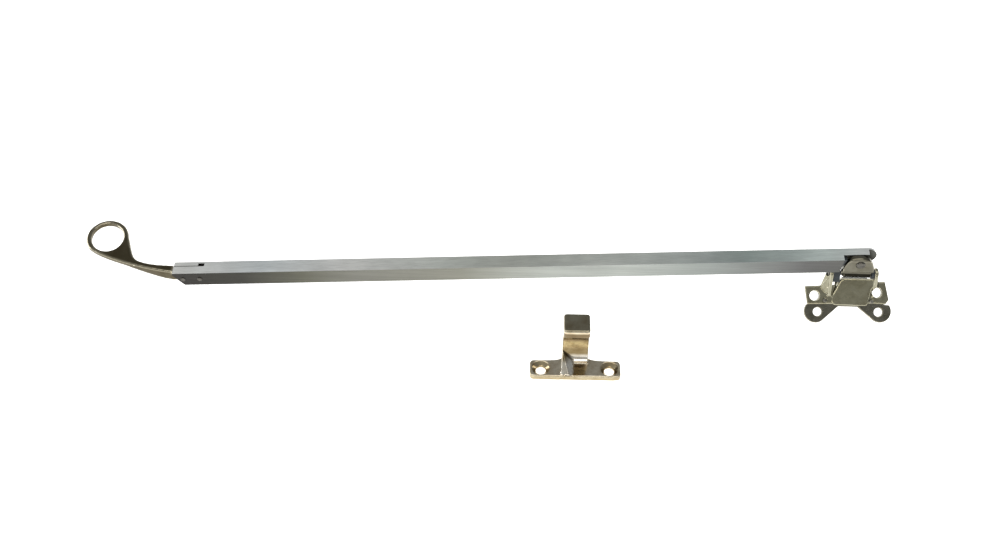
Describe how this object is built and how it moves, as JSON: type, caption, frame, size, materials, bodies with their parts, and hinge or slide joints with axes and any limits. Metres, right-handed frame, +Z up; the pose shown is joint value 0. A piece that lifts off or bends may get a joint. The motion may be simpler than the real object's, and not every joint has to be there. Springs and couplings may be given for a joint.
{
  "type": "casement window stay",
  "caption": "Casement window stay: folded steel channel arm with a cast finger ring, pivoting on a tilting sash bracket, with its loose hook keeper for the frame.",
  "frame": {"origin": "middle of the set's footprint, on the surface that the stay and its keeper lie on", "axes": "+X along the arm from the finger ring to the bracket, +Y towards the arm's back, +Z up"},
  "size_m": [0.3614, 0.0814, 0.0305],
  "materials": {
    "satin_steel": "satin brushed along the arm",
    "dark_nickel": "polished dark nickel plate",
    "nickel_plate": "polished warm nickel plate",
    "plate_nickel": "polished grey nickel plate",
    "keeper_nickel": "polished warm nickel plate",
    "bright_pin": "bright turned steel",
    "black_nylon": "blue-black moulded nylon"
  },
  "bodies": {
    "bracket": {"back_plate": "plate_nickel", "hinge_bracket": "nickel_plate", "plate_rivet_left": "bright_pin", "plate_rivet_right": "bright_pin", "tilt_pin": "bright_pin", "bush_left": "black_nylon", "bush_right": "black_nylon", "keeper": "keeper_nickel"},
    "swivel": {"swivel_block": "nickel_plate", "pivot_rivet": "bright_pin", "friction_washer": "black_nylon", "spring_washer": "bright_pin"},
    "arm": {"arm_channel": "satin_steel", "finger_ring": "dark_nickel", "ring_rivet_outer": "bright_pin", "ring_rivet_inner": "bright_pin", "mouth_liner": "black_nylon"}
  },
  "joints": [
    {"name": "bracket_tilt", "type": "hinge", "parent": "bracket", "child": "swivel", "pos_m": [0.16232, 0.00855, 0.01881], "axis": [1, 0, 0], "range_deg": [-48, 42]},
    {"name": "arm_swing", "type": "hinge", "parent": "swivel", "child": "arm", "pos_m": [0.16432, 0.00935, 0.02651], "axis": [0, 1, 0], "range_deg": [0, 110]}
  ]
}
